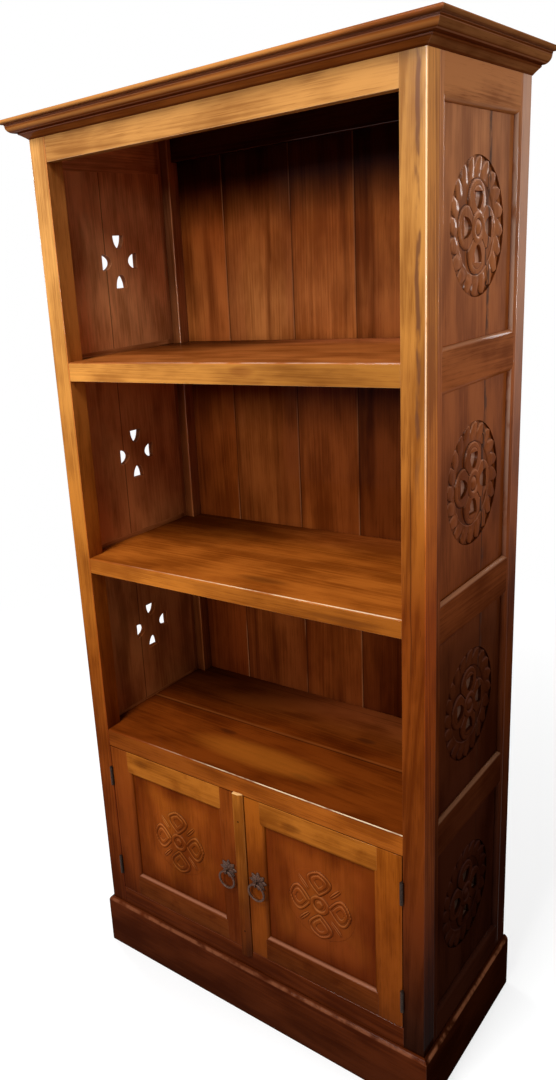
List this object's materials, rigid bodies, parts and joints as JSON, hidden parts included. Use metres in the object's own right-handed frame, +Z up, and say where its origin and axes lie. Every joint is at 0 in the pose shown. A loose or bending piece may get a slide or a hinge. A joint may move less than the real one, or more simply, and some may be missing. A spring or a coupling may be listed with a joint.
{
  "type": "bookcase cabinet",
  "caption": "Tall hardwood bookcase, open shelves over a two-door cupboard, framed sides with pierced carved flower medallions, moulded cornice and plinth",
  "frame": {"origin": "centre of the overall bounding box in plan, on the floor under the plinth and posts", "axes": "+X to the viewer's right facing the open front, +Y from the front to the back, +Z up"},
  "size_m": [0.942, 0.471, 2],
  "materials": {
    "teak": "glossy varnished, warm red-brown",
    "antique_bronze": "dark antique patina"
  },
  "bodies": {
    "carcass": {"back_boards": "teak", "cornice_front": "teak", "cornice_left": "teak", "cornice_right": "teak", "cupboard_floor": "teak", "door_stop": "teak", "front_bottom_rail": "teak", "front_left_post": "teak", "front_right_post": "teak", "front_top_rail": "teak", "hinge_pins": "antique_bronze", "left_hinge_frame_leaves": "antique_bronze", "left_panel_1": "teak", "left_panel_2": "teak", "left_panel_3": "teak", "left_panel_4": "teak", "left_side_rails": "teak", "left_side_stiles": "teak", "plinth_front": "teak", "plinth_left": "teak", "plinth_right": "teak", "rear_bottom_rail": "teak", "rear_left_post": "teak", "rear_right_post": "teak", "rear_top_rail": "teak", "right_hinge_frame_leaves": "antique_bronze", "right_panel_1": "teak", "right_panel_2": "teak", "right_panel_3": "teak", "right_panel_4": "teak", "right_side_rails": "teak", "right_side_stiles": "teak", "shelf_1": "teak", "shelf_2": "teak", "shelf_3": "teak", "top_board": "teak"},
    "left_door": {"astragal": "teak", "left_door_bottom_rail": "teak", "left_door_hinge_stile": "teak", "left_door_meeting_stile": "teak", "left_door_panel": "teak", "left_door_top_rail": "teak", "left_hinge_door_leaves": "antique_bronze", "left_pull_rosette": "antique_bronze", "left_pull_staple": "antique_bronze"},
    "right_door": {"right_door_bottom_rail": "teak", "right_door_hinge_stile": "teak", "right_door_meeting_stile": "teak", "right_door_panel": "teak", "right_door_top_rail": "teak", "right_hinge_door_leaves": "antique_bronze", "right_pull_rosette": "antique_bronze", "right_pull_staple": "antique_bronze"},
    "left_ring": {"left_pull_ring": "antique_bronze"},
    "right_ring": {"right_pull_ring": "antique_bronze"}
  },
  "joints": [
    {"name": "left_door_hinge", "type": "hinge", "parent": "carcass", "child": "left_door", "pos_m": [-0.383, -0.1965, 0.3775], "axis": [0, 0, -1], "range_deg": [0, 170]},
    {"name": "right_door_hinge", "type": "hinge", "parent": "carcass", "child": "right_door", "pos_m": [0.383, -0.1965, 0.3775], "axis": [0, 0, 1], "range_deg": [0, 170]},
    {"name": "left_ring_swing", "type": "hinge", "parent": "left_door", "child": "left_ring", "pos_m": [-0.038, -0.2026, 0.3785], "axis": [-1, 0, 0], "range_deg": [0, 110]},
    {"name": "right_ring_swing", "type": "hinge", "parent": "right_door", "child": "right_ring", "pos_m": [0.042, -0.2026, 0.3785], "axis": [-1, 0, 0], "range_deg": [0, 110]}
  ]
}
